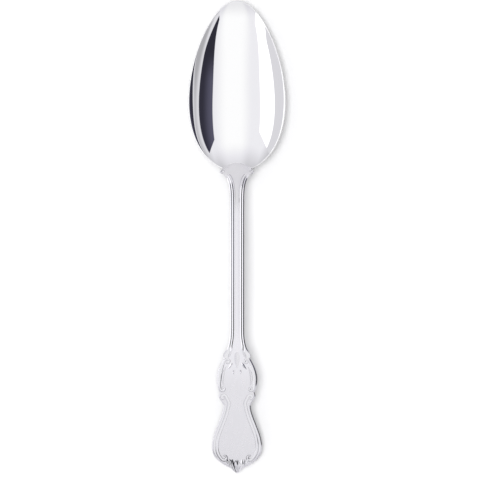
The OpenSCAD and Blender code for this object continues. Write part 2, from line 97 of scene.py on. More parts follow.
def bowl_fill(x, y):
    """How deep the hollow is over a point, as a share: 1 at the deepest place and 0 at the rim."""
    t = along_bowl(y)
    v = t + deep_shift * (1 - t * t)
    s = x / egg_half(y)
    squarer = clamp((t - square_from) / (1 - square_from)) ** 2
    roundness = mix(middle_roundness, tip_roundness, squarer)
    return (1 - v * v) * (1 - roundness * s * s - (1 - roundness) * s**4)


belly_depth = bowl_depth + bowl_wall - rim_thickness
belly_tries = 50


def rim_tilt(y):
    return -rim_rise / 2 * (y - bowl_mid_y) / half_bowl


middle_ys = [bowl_mid_y + half_bowl * k / (2 * belly_tries)
             for k in range(-belly_tries, belly_tries + 1)]
lowest = min(rim_tilt(y) - rim_thickness - belly_depth * bowl_fill(0, y) for y in middle_ys)
rim_mid_z = -lowest - rest_flat_depth


def rim_z(y):
    return rim_mid_z + rim_tilt(y)


def lip_drop(x, y):
    """How much lower the flared lip lies than a plain wall, as it flattens towards the rim."""
    share = max((1 - (along_bowl(y) + lip_setback) ** 2) ** lip_fade, least_lip)
    width = (left_lip_width if x < 0 else right_lip_width) * share
    inside = clamp((egg_half(y) - abs(x)) / width)
    return lip_flare * width / 2 * (1 - inside) ** 2


def hollow_z(x, y):
    return rim_z(y) - bowl_depth * bowl_fill(x, y) - lip_drop(x, y)


def belly_z(x, y):
    return rim_z(y) - rim_thickness - belly_depth * bowl_fill(x, y) - lip_drop(x, y)


tongue_half = egg_half(neck_y + tongue_corner)
tongue_front_y = stem_high.y
tongue_bow = tongue_front_y - neck_y - tongue_corner


def joint_line_y(s):
    """The arc where the bowl meets the stem's tongue, from s = -1 at the left corner to 1."""
    return tongue_front_y - tongue_bow * s * s


egg_steps, tongue_steps, ring_steps = 176, 24, 56
ring_crowding = 1.7
around_steps = egg_steps + tongue_steps
corner_angle = asin(along_bowl(neck_y + tongue_corner))
corner_fade_steps = 10
bowl_middle = Vector((0, bowl_mid_y - deep_shift * half_bowl))


def edge_place(step):
    """A point of the bowl's outline, counted from the right corner round the tip to the left one,
    and back along the joint."""
    if step <= egg_steps:
        angle = mix(corner_angle, pi - corner_angle, step / egg_steps)
        y = bowl_mid_y + half_bowl * sin(angle)
        return Vector((copysign(egg_half(y), cos(angle)), y))
    s = mix(-1, 1, (step - egg_steps) / tongue_steps)
    return Vector((s * tongue_half, joint_line_y(s)))


def rounding(depth, radius):
    """How far a rounded edge has fallen at a depth in from it: 1 at the edge, 0 at the radius."""
    return 1 - sqrt(1 - (1 - clamp(depth / radius)) ** 2)


merge_distance = 0.001 * MM
crease_angle = radians(55)


def finish_piece(mesh, name, slot, finish, *nodes):
    """Closes a mesh, turns its faces outwards and fixes it to the frame in place of its nodes."""
    bmesh.ops.remove_doubles(mesh, verts=mesh.verts, dist=merge_distance)
    bmesh.ops.recalc_face_normals(mesh, faces=mesh.faces)
    for face in mesh.faces:
        face.smooth = True
    data = bpy.data.meshes.new(name)
    mesh.to_mesh(data)
    mesh.free()
    data.set_sharp_from_angle(angle=crease_angle)
    data.materials.append(finish)
    piece = bpy.data.objects.new(name, data)
    bpy.context.scene.collection.objects.link(piece)
    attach(piece, "root")
    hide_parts(*nodes)


def add_node(tree, kind, links=None, **settings):
    """A shader node with its settings, and its inputs set or linked by name or number."""
    node = tree.nodes.new(kind)
    for key, value in settings.items():
        setattr(node, key, value)
    for key, value in (links or {}).items():
        if isinstance(value, bpy.types.NodeSocket):
            tree.links.new(value, node.inputs[key])
        else:
            node.inputs[key].default_value = value
    return node


def new_group(name, inputs, outputs):
    """An empty shader group with named number inputs and outputs, and its two end nodes."""
    group = bpy.data.node_groups.new(name, "ShaderNodeTree")
    for label, value in inputs.items():
        socket = group.interface.new_socket(label, in_out="INPUT", socket_type="NodeSocketFloat")
        socket.default_value = value
    for label in outputs:
        group.interface.new_socket(label, in_out="OUTPUT", socket_type="NodeSocketFloat")
    return group, add_node(group, "NodeGroupInput"), add_node(group, "NodeGroupOutput")


# Hairlines that the last polish leaves along the spoon, the haze that use leaves between them, and
# the shine on side edges, where hands and cloths rub.
polish_lines, given, put = new_group(
    "polish_lines", {"Line Scale": 900.0, "Haze Scale": 60.0, "Smooth": 0.05, "Dull": 0.12,
                     "Rubbed": 0.08}, ["Height", "Roughness"])
place = add_node(polish_lines, "ShaderNodeTexCoord").outputs["Object"]
drawn_out = add_node(polish_lines, "ShaderNodeVectorMath", {0: place, 1: (1.0, 0.05, 1.0)},
                     operation="MULTIPLY").outputs[0]
lines = add_node(polish_lines, "ShaderNodeTexNoise",
                 {"Vector": drawn_out, "Scale": given.outputs["Line Scale"], "Detail": 3.0})
haze = add_node(polish_lines, "ShaderNodeTexNoise",
                {"Vector": place, "Scale": given.outputs["Haze Scale"], "Detail": 4.0})
both = add_node(polish_lines, "ShaderNodeMath",
                {0: lines.outputs[0], 1: haze.outputs[0]}, operation="MULTIPLY").outputs[0]
dulled = add_node(polish_lines, "ShaderNodeMapRange",
                  {"Value": both, "From Min": 0.15, "From Max": 0.35,
                   "To Min": given.outputs["Smooth"], "To Max": given.outputs["Dull"]})
facing = add_node(polish_lines, "ShaderNodeNewGeometry").outputs["Normal"]
sideways = add_node(polish_lines, "ShaderNodeMath",
                    {0: add_node(polish_lines, "ShaderNodeSeparateXYZ", {0: facing}).outputs["X"]},
                    operation="ABSOLUTE").outputs[0]
rubbed = add_node(polish_lines, "ShaderNodeMapRange",
                  {"Value": sideways, "From Min": 0.2, "From Max": 0.34,
                   "To Min": dulled.outputs[0], "To Max": given.outputs["Rubbed"]},
                  interpolation_type="SMOOTHSTEP")
polish_lines.links.new(lines.outputs[0], put.inputs["Height"])
polish_lines.links.new(rubbed.outputs[0], put.inputs["Roughness"])

# A mask for the darker tone: painted shade in corners, from ambient occlusion, and on the low
# ground beside chased lines, by their relief_depth; faint tarnish in clouds on open faces; and a
# soft darkening towards one end of a piece.
tarnish_and_painted_shade, given, put = new_group(
    "tarnish_and_painted_shade", {"Corner Reach": 0.6 * MM, "Corner Start": 0.75, "Corner Full": 0.2,
                "Corner Amount": 0.8, "Cloud Scale": 45.0, "Cloud Amount": 0.1, "End Darkening From": 0.0,
                "End Darkening To": 0.01, "End Darkening Amount": 0.0, "Relief From": 0.45, "Relief To": 0.85,
                "Relief Amount": 0.0}, ["Mask"])
place = add_node(tarnish_and_painted_shade, "ShaderNodeTexCoord").outputs["Object"]
# Painted shade: corners that ambient occlusion finds are darkened.
open_sky = add_node(tarnish_and_painted_shade, "ShaderNodeAmbientOcclusion",
                    {"Distance": given.outputs["Corner Reach"]}, samples=8).outputs["AO"]
corner = add_node(tarnish_and_painted_shade, "ShaderNodeMapRange",
                  {"Value": open_sky, "From Min": given.outputs["Corner Start"],
                   "From Max": given.outputs["Corner Full"], "To Min": 0.0,
                   "To Max": given.outputs["Corner Amount"]}, interpolation_type="SMOOTHSTEP")
cloud = add_node(tarnish_and_painted_shade, "ShaderNodeTexNoise",
                 {"Vector": place, "Scale": given.outputs["Cloud Scale"], "Detail": 5.0})
cloud_mask = add_node(tarnish_and_painted_shade, "ShaderNodeMapRange",
                      {"Value": cloud.outputs[0], "From Min": 0.45, "From Max": 0.7,
                       "To Min": 0.0, "To Max": given.outputs["Cloud Amount"]})
along = add_node(tarnish_and_painted_shade, "ShaderNodeSeparateXYZ", {0: place}).outputs["Y"]
# A darkening along the piece, from one place on it to another; on the stem it is painted shade.
end_darkening = add_node(tarnish_and_painted_shade, "ShaderNodeMapRange",
                 {"Value": along, "From Min": given.outputs["End Darkening From"],
                  "From Max": given.outputs["End Darkening To"], "To Min": 0.0,
                  "To Max": given.outputs["End Darkening Amount"]}, interpolation_type="SMOOTHSTEP")
open_faces = add_node(tarnish_and_painted_shade, "ShaderNodeMath",
                      {0: end_darkening.outputs[0], 1: cloud_mask.outputs[0]}, operation="MAXIMUM")
# Painted shade on the low ground beside raised lines, as much as each point's relief_depth asks.
low_ground = add_node(tarnish_and_painted_shade, "ShaderNodeAttribute", attribute_name="relief_depth").outputs["Fac"]
sunk = add_node(tarnish_and_painted_shade, "ShaderNodeMapRange",
                {"Value": low_ground, "From Min": given.outputs["Relief From"],
                 "From Max": given.outputs["Relief To"], "To Min": 0.0,
                 "To Max": given.outputs["Relief Amount"]}, interpolation_type="SMOOTHSTEP")
recesses = add_node(tarnish_and_painted_shade, "ShaderNodeMath",
                    {0: corner.outputs[0], 1: sunk.outputs[0]}, operation="MAXIMUM")
total = add_node(tarnish_and_painted_shade, "ShaderNodeMath",
                 {0: recesses.outputs[0], 1: open_faces.outputs[0]}, operation="MAXIMUM")
tarnish_and_painted_shade.links.new(total.outputs[0], put.inputs["Mask"])


def silver(name, clean, shade_and_tarnish_tone, line_depth, lines, corners):
    """Solid silver: a clean tone, the darker tone that painted shade and tarnish mix in, and how
    its polish and corners look.
    """
    finish = bpy.data.materials.new(name)
    finish.use_nodes = True
    tree = finish.node_tree
    shader = tree.nodes["Principled BSDF"]
    shader.inputs["Metallic"].default_value = 1.0
    drawn = add_node(tree, "ShaderNodeGroup", node_tree=polish_lines)
    tarnish_and_shade = add_node(tree, "ShaderNodeGroup", node_tree=tarnish_and_painted_shade)
    for group, values in ((drawn, lines), (tarnish_and_shade, corners)):
        for label, value in values.items():
            group.inputs[label].default_value = value
    # The tone goes towards the darker one where the mask of painted shade and tarnish is high.
    tone = add_node(tree, "ShaderNodeMix",
                    {"Factor": tarnish_and_shade.outputs["Mask"], 6: (*clean, 1), 7: (*shade_and_tarnish_tone, 1)},
                    data_type="RGBA")
    bump = add_node(tree, "ShaderNodeBump",
                    {"Height": drawn.outputs["Height"], "Strength": 0.1, "Distance": line_depth})
    tree.links.new(tone.outputs[2], shader.inputs["Base Color"])
    tree.links.new(drawn.outputs["Roughness"], shader.inputs["Roughness"])
    tree.links.new(bump.outputs["Normal"], shader.inputs["Normal"])
    return finish


# The bowl's tone is darker over the last few millimetres towards its tip, faintly clouded, and its
# corners take painted shade.
bowl_lines = 0.0005 * MM
polished_silver = silver(
    "polished_silver", (0.985, 0.985, 0.985), (0.80, 0.797, 0.812), bowl_lines,
    {"Line Scale": 1400.0, "Smooth": 0.015, "Dull": 0.05, "Rubbed": 0.025},
    {"Cloud Amount": 0.05, "End Darkening From": bowl_high.y - 8 * MM, "End Darkening To": bowl_high.y - 1 * MM,
     "End Darkening Amount": 0.9})

bowl_mesh = bmesh.new()
bmesh.ops.create_uvsphere(bowl_mesh, u_segments=around_steps, v_segments=2 * ring_steps, radius=1)
for vert in bowl_mesh.verts:
    step = round(atan2(vert.co.y, vert.co.x) / tau * around_steps) % around_steps
    dip = acos(clamp(vert.co.z, -1, 1)) / (pi / 2)
    reach = 1 - clamp(1 - min(dip, 2 - dip)) ** ring_crowding
    edge = edge_place(step)
    x, y = bowl_middle.lerp(edge, reach)
    radius = (edge - bowl_middle).length
    from_corner = ease(clamp(min(step, egg_steps - step) / corner_fade_steps))
    top, under = hollow_z(x, y), belly_z(x, y)
    side_round = mix(rim_round, left_rim_round, ease((step - egg_steps / 2) / corner_fade_steps))
    fall = rounding((1 - reach) * radius, mix(joint_round, side_round, from_corner))
    vert.co = x, y, max(mix(top if dip <= 1 else under, mix(top, under, 0.5), fall), 0)
finish_piece(bowl_mesh, "dished_bowl", "polished_silver", polished_silver, "bowl")

# The stem is a bar of silver forged to a shallow arch and brazed into the bowl by a broad tongue.
# It flares into the bowl between two small ears, and again into leaf shaped shoulders at the
# end plate.
plate_low, plate_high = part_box("end_plate")
joint_y, end_y = plate_high.y, plate_low.y
stem_half = 3.05 * MM
stem_thickness = 3 * MM
plate_thickness = 2.2 * MM
edge_thickness = 1.3 * MM
edge_width, plate_edge_width, most_edge = 0.45 * MM, 0.36 * MM, 0.4
edge_slope = 0.4
crisp_edge, worn_edge = 1.05, 2.2
crown_y = neck_y - 38 * MM
crown_z = stem_high.z
neck_z = hollow_z(0, tongue_front_y)
neck_flare_length, neck_flare_power = 17 * MM, 4.5
neck_blend_length = 6.5 * MM
ear_setback, ear_offset, ear_radius = 0.3 * MM, 6.3 * MM, 1.2 * MM
ear_span = 1.3 * ear_radius
face_crown = 0.2 * MM
ear_flat_from = 0.6
edge_rounds = 6
panel_depth, panel_inset = 0.25 * MM, 1.76 * MM
notch_y = joint_y - 14.6 * MM
waist_y = notch_y - 6.1 * MM
widest_y = notch_y - 23.7 * MM
bud_y = end_y + 2.1 * MM
plate_half_width = plate_high.x

# Knots of the handle's outline: station, half width, slope on arriving and slope on leaving.
outline = [
    (joint_y + 14.3 * MM, stem_half, 0, 0),
    (joint_y + 4 * MM, 4.4 * MM, 0.42, 0.42),
    (joint_y + 1.1 * MM, 5.95 * MM, 0, 0),
    (joint_y, 5.7 * MM, -0.4, 0.6),
    (joint_y - 9.1 * MM, 8.75 * MM, 0, 0),
    (notch_y, 7.5 * MM, -0.45, 0.35),
    (notch_y - 1.5 * MM, 7.9 * MM, 0, 0),
    (waist_y, 5.85 * MM, 0.12, 0.12),
    (widest_y, plate_half_width, 0, 0),
    (bud_y, 2.5 * MM, -2.3, -1),
    (end_y, 0.3 * MM, -1.8, -1.8),
]


def plate_half(y):
    y = max(y, end_y)
    for (y0, half0, _, leave), (y1, half1, arrive, _) in zip(outline, outline[1:]):
        if y >= y1:
            break
    length = y0 - y1
    u = (y0 - y) / length
    return (half0 * (1 + 2 * u) * (1 - u) ** 2 + half1 * u * u * (3 - 2 * u)
            + length * (leave * u * (1 - u) ** 2 - arrive * u * u * (1 - u)))


def plain_half(station):
    if station <= outline[0][0]:
        return plate_half(station)
    u = clamp((station - neck_y + neck_flare_length) / neck_flare_length)
    return mix(stem_half, tongue_half, u**neck_flare_power)


def blend(station):
    """1 where the handle lies in the bowl's hollow, 0 where it is clear of it."""
    return 1 - ease((tongue_front_y - station) / neck_blend_length)


def edge_station(y):
    """The station whose section reaches its edge at y, since sections bow at the neck."""
    station = y
    for _ in range(edge_rounds):
        station = y + tongue_bow * blend(station)
    return station


ear_station = edge_station(neck_y - ear_setback)


def handle_half(station):
    d = clamp((station - ear_station) / ear_span, -1, 1)
    plain = plain_half(station)
    return mix(plain, max(plain, ear_offset + ear_radius), 1 - d * d)


def spine_z(y):
    if y > crown_y:
        return mix(crown_z, neck_z, ((y - crown_y) / (tongue_front_y - crown_y)) ** 2)
    return mix(crown_z, plate_thickness, ((crown_y - y) / (crown_y - end_y)) ** 2)


def towards_plate(y):
    return ease((crown_y - y) / (crown_y - notch_y))


def section_y(s, station):
    return station - tongue_bow * s * s * blend(station)


def panel_dip(s, station):
    """The stem's face is hollowed a little between its threads, and flat again on the shoulders."""
    reach = 1 - panel_inset / handle_half(station)
    fade = ease((station - outline[1][0]) / (outline[0][0] - outline[1][0]))
    return panel_depth * fade * clamp(1 - (s / reach) ** 2)


def eased_out(s):
    """A place across the neck, held back towards the corners, so that the ears lie nearly flat."""
    u = max(abs(s) - ear_flat_from, 0) / (1 - ear_flat_from)
    return copysign(min(abs(s), ear_flat_from) + (1 - ear_flat_from) * (u - u * u / 2), s)


def section_face_z(s, station):
    line_y = joint_line_y(eased_out(s))
    trough = hollow_z(eased_out(s) * tongue_half, line_y) - spine_z(line_y)
    crown = -face_crown * s * s - panel_dip(s, station)
    return spine_z(section_y(s, station)) + mix(crown, trough, blend(station))


def section_back_z(s, station):
    line_y = joint_line_y(s)
    trough = belly_z(s * tongue_half, line_y) - spine_z(line_y)
    share = towards_plate(station)
    body = mix(edge_thickness, mix(stem_thickness, plate_thickness, share), sqrt(1 - s * s))
    crown = -face_crown * s * s - body
    return spine_z(section_y(s, station)) + mix(crown, trough, blend(station))


def stations(start, stop, count):
    return [mix(start, stop, k / count) for k in range(count + 1)]


face_steps, roll_steps = 26, 5


def section_ring(station):
    """A ring of points round the handle, over its face and back under it, with filed edges."""
    half = handle_half(station)
    width = min(mix(edge_width, plate_edge_width, towards_plate(station)), most_edge * half)
    flat = 1 - width / half
    filed = [1 - width / half * k / roll_steps for k in range(roll_steps)]
    face, back = [], []
    for s in [-place for place in filed] + stations(-flat, flat, face_steps) + filed[::-1]:
        wear = worn_edge if s < 0 else crisp_edge
        fall = edge_slope * width * (1 - clamp((1 - abs(s)) * half / width)) ** wear
        x, y = s * half, section_y(s, station)
        face.append((x, y, section_face_z(s, station) - fall))
        back.append((x, y, section_back_z(s, station) + fall))
    return face + back[::-1]


def loft(mesh, rings):
    """A closed skin over rings of points, one ring a station along the piece. A fourth number of a
    point is its painted shade, stored as relief_depth: how deep it lies in the relief, from 0 on
    the crest to 1 on the ground, times the shade its line asks for."""
    floats = mesh.verts.layers.float
    relief = floats.get("relief_depth") or floats.new("relief_depth")
    grid = bmesh.ops.create_grid(mesh, x_segments=len(rings[0]), y_segments=len(rings) - 1, size=1)
    verts = grid["verts"]
    for vert, (x, y, z, *depth) in zip(verts, (p for ring in rings for p in ring + ring[:1])):
        vert.co = x, y, z
        vert[relief] = depth[0] if depth else 0
    bmesh.ops.remove_doubles(mesh, verts=verts, dist=merge_distance)
    bmesh.ops.edgeloop_fill(mesh, edges=[e for e in mesh.edges if e.is_boundary])


fine_lines = 0.0003 * MM
# The satin's darker tone is mixed in as painted shade in corners and in faint tarnish clouds.
satin_tones = (0.855, 0.847, 0.884), (0.55, 0.54, 0.55)
satin_lines = {"Line Scale": 700.0, "Smooth": 0.26, "Dull": 0.3}
satin_corners = {"Corner Amount": 0.5, "Cloud Amount": 0.03}
# The stem's tone is painted darker from y = 9 mm towards the neck, as painted shade for a darker
# reflection there.
satin_silver = silver(
    "satin_silver", *satin_tones, fine_lines, satin_lines,
    {**satin_corners, "End Darkening From": 9 * MM, "End Darkening To": 18 * MM, "End Darkening Amount": 0.4})

neck_end_y = tongue_front_y - neck_blend_length
neck_steps, stem_steps = 72, 110
stem_stations = (stations(tongue_front_y, neck_end_y, neck_steps)
                 + stations(neck_end_y, joint_y, stem_steps)[1:])
stem_mesh = bmesh.new()
loft(stem_mesh, [section_ring(station) for station in stem_stations])
finish_piece(stem_mesh, "arched_stem", "satin_silver", satin_silver, "stem")

# The drop is a tongue of silver lapped under the joint of bowl and stem and brazed to both, to
# stiffen the neck. Its back is rounded and runs out thin along the belly.
drop_reach = 5.5 * MM
drop_length = 22 * MM
drop_half = 3.5 * MM
drop_edge = 0.15 * MM
drop_thickness, drop_thinning, drop_seat = 1 * MM, 0.8, 0.01 * MM
drop_swell_length, drop_root, drop_point, drop_taper = 0.3, 0.5, 0.08, 2.2
drop_sides, drop_steps = 20, 60
station_rounds = 4


def station_at(x, y):
    station = y
    for _ in range(station_rounds):
        s = clamp(x / handle_half(station), -1, 1)
        station = y + tongue_bow * s * s * blend(station)
    return station


def under_z(x, y):
    if y > joint_line_y(x / tongue_half):
        return belly_z(x, y)
    station = station_at(x, y)
    return section_back_z(clamp(x / handle_half(station), -1, 1), station)


def drop_ring(share):
    y = neck_y - drop_reach + drop_length * share
    swell = ease(share / drop_swell_length)
    half = drop_half * max(drop_point, 1 - share**drop_taper) * mix(drop_root, 1, swell)
    body = drop_thickness * swell * (1 - drop_thinning * share)
    seat, back = [], []
    for k in range(drop_sides + 1):
        s = -cos(pi * k / drop_sides)
        z = under_z(s * half, y)
        seat.append((s * half, y, z))
        back.append((s * half, y, z - (drop_edge + body) * sqrt(max(1 - s * s, 0)) - drop_seat))
    return seat + back[::-1]


drop_mesh = bmesh.new()
loft(drop_mesh, [drop_ring(share) for share in stations(0, 1, drop_steps)])
finish_piece(drop_mesh, "lapped_drop", "satin_silver", satin_silver, "bowl_drop")

# The end plate is the same bar hammered broad and filed to a scrolled outline: a bulging upper
# part, a notch with two knobs, a waist, and a spade shaped lower part that ends in a bud.
# The plate's tone darkens over 14 mm below the joint and stays so, and its corners take painted
# shade.
plate_silver = silver(
    "plate_silver", *satin_tones, fine_lines, satin_lines,
    {**satin_corners, "End Darkening From": joint_y, "End Darkening To": joint_y - 14 * MM, "End Darkening Amount": 0.22})
upper_steps, lower_steps, tip_steps = 84, 50, 66
plate_stations = (stations(joint_y, waist_y, upper_steps)
                  + stations(waist_y, widest_y, lower_steps)[1:]
                  + stations(widest_y, end_y, tip_steps)[1:])
plate_mesh = bmesh.new()
loft(plate_mesh, [section_ring(station) for station in plate_stations])
finish_piece(plate_mesh, "scrolled_end_plate", "satin_silver", plate_silver, "end_plate")

# Threads are fine raised lines chased along both edges of the stem. The outer one swells into the
# leaf on the shoulder, the inner one runs beside it, and a short third one frames the neck. Use has
# worn the left leaf lower than the right one.
thread_gap = 0.02 * MM
thread_height = 0.212 * MM
thread_flank = 0.425 * MM
thread_end, thread_taper = 0.4, 0.04
thread_steps = 120
thread_top_y = neck_y - ear_setback - ear_radius
outer_width, inner_width = 0.85 * MM, 0.85 * MM
outer_foot_y, inner_foot_y = joint_y + 0.3 * MM, joint_y - 0.2 * MM
inner_end = 0.5
leaf_swell, leaf_run = 1.3 * MM, 6.4 * MM
leaf_full, leaf_fall_from, leaf_fall = 0.75, 0.85, 0.6
leaf_sink, inner_sink = {"left": 0.5, "right": 0.1}, 0.5
# Painted shade on the threads' feet beside the shoulder's leaf.
leaf_painted_shade = 0.55
short_foot_y = neck_y - 0.8 * neck_flare_length
short_end, short_top_height, short_foot_height = 0.2, 0.9, 0.3
short_steps = 48
bead_sides = 20
bead_seat = 0.3 * MM
crisp = 1.05
sides = {"left": -1, "right": 1}

# Raised silver is painted with shade: its near-black darker tone is laid on the low ground beside
# each line, as its relief_depth asks, and in its corners by ambient occlusion, for the dark
# reflections that lie along the lines' flanks.
raised_tones = (0.82, 0.815, 0.84), (0.03, 0.03, 0.035)
raised_lines = {"Line Scale": 1000.0, "Smooth": 0.14, "Dull": 0.2}
raised_ground = {"Cloud Amount": 0.03, "Relief From": 0.35, "Relief To": 0.6, "Relief Amount": 1.0}
raised_silver = silver("raised_silver", *raised_tones, fine_lines, raised_lines,
                       {**raised_ground, "Corner Amount": 0.44})


def finish_relief(mesh, name, node, finish=raised_silver):
    finish_piece(mesh, name, "raised_silver", finish, node)


def ridge(width, flank, power, lean):
    """The section of a raised line, as pairs of place across and height. Its sides slope over a
    flank, which a power over 1 rounds. Lean shifts its crest to the right of the line's course."""
    flank = min(2 * flank / width, 1)
    section = []
    for i in range(bead_sides + 1):
        across = 1 - 2 * i / bead_sides
        rise = 1 - (1 - clamp((1 - abs(across)) / flank)) ** power
        section.append((across + lean * (1 - abs(across)), rise))
    return section


def face_z(x, y):
    station = station_at(x, y)
    return section_face_z(clamp(x / handle_half(station), -1, 1), station)


def bead(mesh, path, widths, heights, flank, power=crisp, lean=0.0, painted_shade=None):
    """A raised line along a course on the handle's face. Its painted shade says how dark its feet
    are painted.
    """
    painted_shade = painted_shade or [0.0] * len(path)
    rings = []
    for k, (x, y) in enumerate(path):
        ahead, behind = path[min(k + 1, len(path) - 1)], path[max(k - 1, 0)]
        length = hypot(ahead[0] - behind[0], ahead[1] - behind[1])
        side_x, side_y = (ahead[1] - behind[1]) / length, (behind[0] - ahead[0]) / length
        ring = []
        for across, rise in ridge(widths[k], flank, power, lean):
            px, py = x + widths[k] / 2 * across * side_x, y + widths[k] / 2 * across * side_y
            ring.append((px, py, face_z(px, py) + heights[k] * rise, painted_shade[k] * (1 - rise)))
        seats = [(px, py, pz - bead_seat, painted_shade[k]) for px, py, pz, _ in (ring[-1], ring[0])]
        rings.append(ring + seats)
    loft(mesh, rings)


def tapered(count, full, low, ends=0.2):
    """A size along a line: low at both ends, full in between."""
    last = count - 1
    return [full * mix(low, 1, ease(min(k, last - k) / last / ends)) for k in range(count)]


def edge_half(y):
    return plain_half(edge_station(y))


def leaf_share(y):
    """How wide the shoulder's leaf has swollen, as a share."""
    u = (joint_y + leaf_run - y) / leaf_run
    return ease(u / leaf_full) * (1 - leaf_fall * ease((u - leaf_fall_from) / (1 - leaf_fall_from)))


def outer_thread_width(y):
    return outer_width + leaf_swell * leaf_share(y)


def inner_thread_x(y):
    return edge_half(max(y, joint_y)) - outer_thread_width(y) - inner_width / 2 - 2 * thread_gap


def thread(path, widths, sink):
    """A thread along a path, sinking by a share beside the shoulder's leaf, where it is chased and
    its feet take painted shade.
    """
    mesh = bmesh.new()
    heights = tapered(len(path), thread_height, thread_end, thread_taper)
    bead(mesh, path, widths,
         [height * (1 - sink * leaf_share(y)) for height, (_, y) in zip(heights, path)],
         thread_flank, painted_shade=[leaf_painted_shade * leaf_share(y) for _, y in path])
    return mesh


for side, hand in sides.items():
    outer_path = [(hand * (edge_half(y) - outer_thread_width(y) / 2 - thread_gap), y)
                  for y in stations(thread_top_y, outer_foot_y, thread_steps)]
    outer_mesh = thread(outer_path, [outer_thread_width(y) for _, y in outer_path], leaf_sink[side])
    finish_relief(outer_mesh, f"{side}_edge_thread", f"{side}_outer_thread")

    inner_path = [(hand * inner_thread_x(y), y)
                  for y in stations(thread_top_y, inner_foot_y, thread_steps)]
    inner_widths = tapered(len(inner_path), inner_width, inner_end, thread_taper)
    inner_mesh = thread(inner_path, inner_widths, inner_sink)
    finish_relief(inner_mesh, f"{side}_second_thread", f"{side}_inner_thread")

    short_path = [(hand * (inner_thread_x(y) - inner_width - thread_gap), y)
                  for y in stations(thread_top_y, short_foot_y, short_steps)]
    short_heights = stations(short_top_height, short_foot_height, short_steps)
    short_mesh = bmesh.new()
    bead(short_mesh, short_path, stations(inner_width, short_end * inner_width, short_steps),
         [share * thread_height for share in short_heights], thread_flank)
    finish_relief(short_mesh, f"{side}_short_thread", f"{side}_neck_thread")

# The ears are small curled beads of silver, chased on the two lobes where the neck meets the bowl's
# rim. Each winds in towards its eye and thins as it goes.
ear_bead = 0.5 * ear_radius
ear_wind = ear_radius - ear_bead / 2 - thread_gap
ear_turn, ear_eye = radians(-330), 0.4 * ear_wind
ear_eye_bead, ear_end = 0.6 * ear_bead, 0.7
ear_steps = 40


def curl(start, angle, turn, radius, eye, steps):
    """Points that wind inwards from a start with a heading, to the left for a positive turn."""
    hand = copysign(1, turn)
    mid_x = start[0] + radius * cos(angle + hand * pi / 2)
    mid_y = start[1] + radius * sin(angle + hand * pi / 2)
    points = []
    for k in range(1, steps + 1):
        out, turned = mix(radius, eye, k / steps), angle - hand * pi / 2 + turn * k / steps
        points.append((mid_x + out * cos(turned), mid_y + out * sin(turned)))
    return points


for side, hand in sides.items():
    start = (ear_offset - ear_wind, neck_y - ear_setback)
    path = [start] + curl(start, pi / 2, ear_turn, ear_wind, ear_eye, ear_steps)
    ear_mesh = bmesh.new()
    bead(ear_mesh, [(hand * x, y) for x, y in path], stations(ear_bead, ear_eye_bead, ear_steps),
         tapered(len(path), thread_height, ear_end), thread_flank)
    finish_relief(ear_mesh, f"{side}_curled_ear", f"{side}_neck_scroll")

# The upper part of the plate is edged by a broad C shaped band on each side, struck up from the
# face and curled inwards at both ends, with a fine bead inside it.
band_width, band_end, band_taper = 1.6 * MM, 0.6, 0.4
band_flank, band_power, band_lean = 0.32 * MM, 1.2, 0.1
band_top_y, band_foot_y = joint_y - 0.6 * MM, notch_y + 1.2 * MM
scroll_height, scroll_end = 0.14 * MM, 0.7
# Painted shade on the feet of the C band and its fine bead.
scroll_painted_shade = 0.55
edge_margin = 0.35 * MM
curl_radius = 1.2 * MM
eye_width, curl_growth = 0.45 * curl_radius, 0.035 * MM
band_top_curl = (radians(330), curl_radius, 0.35 * curl_radius)
band_foot_curl = (radians(-300), 0.9 * curl_radius, 0.35 * curl_radius)
bead_width = 1.3 * MM
fine_width, fine_end, fine_taper = 0.8 * bead_width, 0.3, 0.4
fine_height, fine_low = 0.8 * scroll_height, 0.4
fine_top_y, fine_foot_y = joint_y - 3.4 * MM, notch_y + 3 * MM
fine_inset, fine_bow = edge_margin + band_width + 0.4 * bead_width, 0.3 * MM
run_steps, curl_steps = 48, 36


def heading(a, b):
    return atan2(b[1] - a[1], b[0] - a[0])


def scroll(hand, run, top, foot, widths, heights, flank, power, lean=0.0, painted_shade=None):
    """A band or bead along a run of points, with a curl at each end that thins towards its eye.
    A curl is given as its turn, its radius and the radius of its eye."""
    top_curl = curl(run[0], heading(run[1], run[0]), *top, curl_steps)
    foot_curl = curl(run[-1], heading(run[-2], run[-1]), *foot, curl_steps)
    path = top_curl[::-1] + run + foot_curl
    last = len(path) - 1
    full = [widths[0]] * curl_steps + widths + [widths[-1]] * curl_steps
    mesh = bmesh.new()
    bead(mesh, [(hand * x, y) for x, y in path],
         [min(width, eye_width + curl_growth * min(k, last - k)) for k, width in enumerate(full)],
         heights, flank, power, lean, painted_shade)
    return mesh


for side, hand in sides.items():
    bands = tapered(run_steps + 1, band_width, band_end, band_taper)
    run = [(plate_half(y) - width / 2 - edge_margin, y)
           for y, width in zip(stations(band_top_y, band_foot_y, run_steps), bands)]
    scroll_points = len(run) + 2 * curl_steps
    band_mesh = scroll(hand, run, band_top_curl, band_foot_curl, bands,
                       tapered(scroll_points, scroll_height, scroll_end), band_flank, band_power,
                       hand * band_lean, [scroll_painted_shade] * scroll_points)
    finish_relief(band_mesh, f"{side}_c_scroll", f"{side}_upper_scroll")

    fine_path = [(hand * (plate_half(y) - fine_inset - fine_bow * (1 - sin(pi * k / run_steps))), y)
                 for k, y in enumerate(stations(fine_top_y, fine_foot_y, run_steps))]
    fine_mesh = bmesh.new()
    bead(fine_mesh, fine_path, tapered(run_steps + 1, fine_width, fine_end, fine_taper),
         tapered(run_steps + 1, fine_height, fine_low, fine_taper), bead_width,
         painted_shade=[scroll_painted_shade] * (run_steps + 1))
    finish_relief(fine_mesh, f"{side}_fine_bead", f"{side}_upper_bead")

